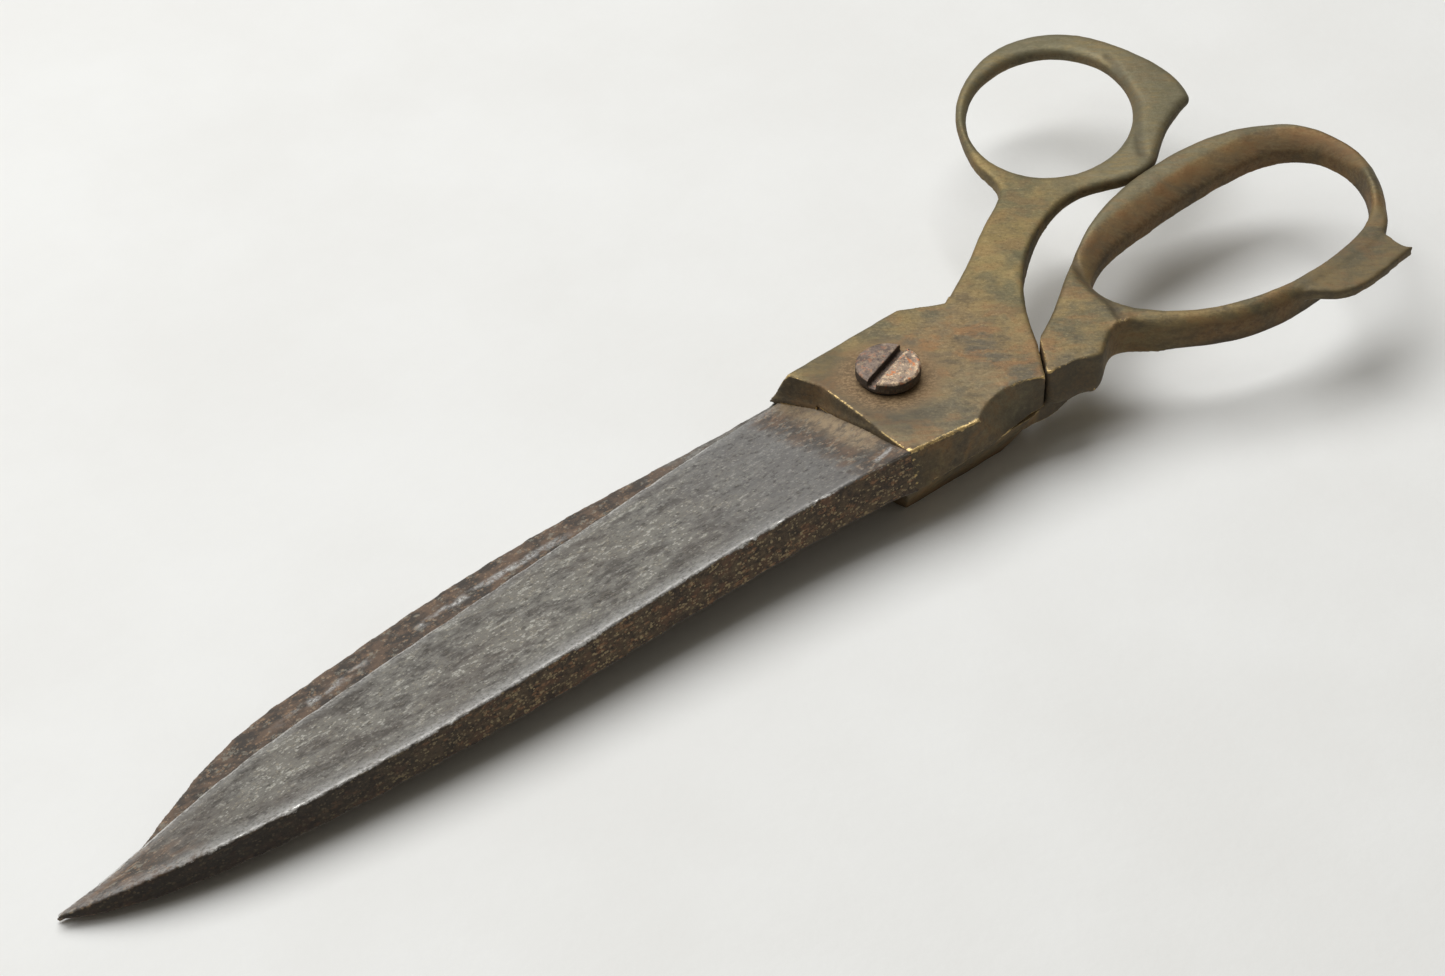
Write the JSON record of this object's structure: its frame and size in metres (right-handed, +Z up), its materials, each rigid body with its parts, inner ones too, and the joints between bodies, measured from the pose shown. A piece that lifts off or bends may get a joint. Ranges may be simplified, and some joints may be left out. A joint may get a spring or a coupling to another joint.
{
  "type": "fabric shears",
  "caption": "Large forged shears with bevelled steel blades cast into brass handles: a round thumb ring, a long finger bow with a spur, and a slotted pivot screw.",
  "frame": {"origin": "where the pivot axis meets the surface that the closed shears lie on, on the flat underside of the lower pivot block", "axes": "+X runs from the point towards the handles along the shears, +Y towards the thumb-ring side, +Z up from the surface; the pivot axis leans 2.51 degrees from +Z towards -X"},
  "size_m": [0.2413, 0.0846, 0.0185],
  "materials": {
    "blade_steel": "ground steel, dark with age, rust spots, bright along the edges",
    "cast_brass": "rough cast brass, olive-brown patina, gold where worn",
    "screw_iron": "dark iron with rust grains"
  },
  "bodies": {
    "lower_half": {"lower_blade": "blade_steel", "lower_handle": "cast_brass", "pivot_screw": "screw_iron", "head_washer": "screw_iron"},
    "upper_half": {"upper_blade": "blade_steel", "upper_handle": "cast_brass"}
  },
  "joints": [
    {"name": "blade_pivot", "type": "hinge", "parent": "lower_half", "child": "upper_half", "pos_m": [0, 0, 0.00739], "axis": [-0.0438, 0, 0.999], "range_deg": [0, 75]}
  ]
}
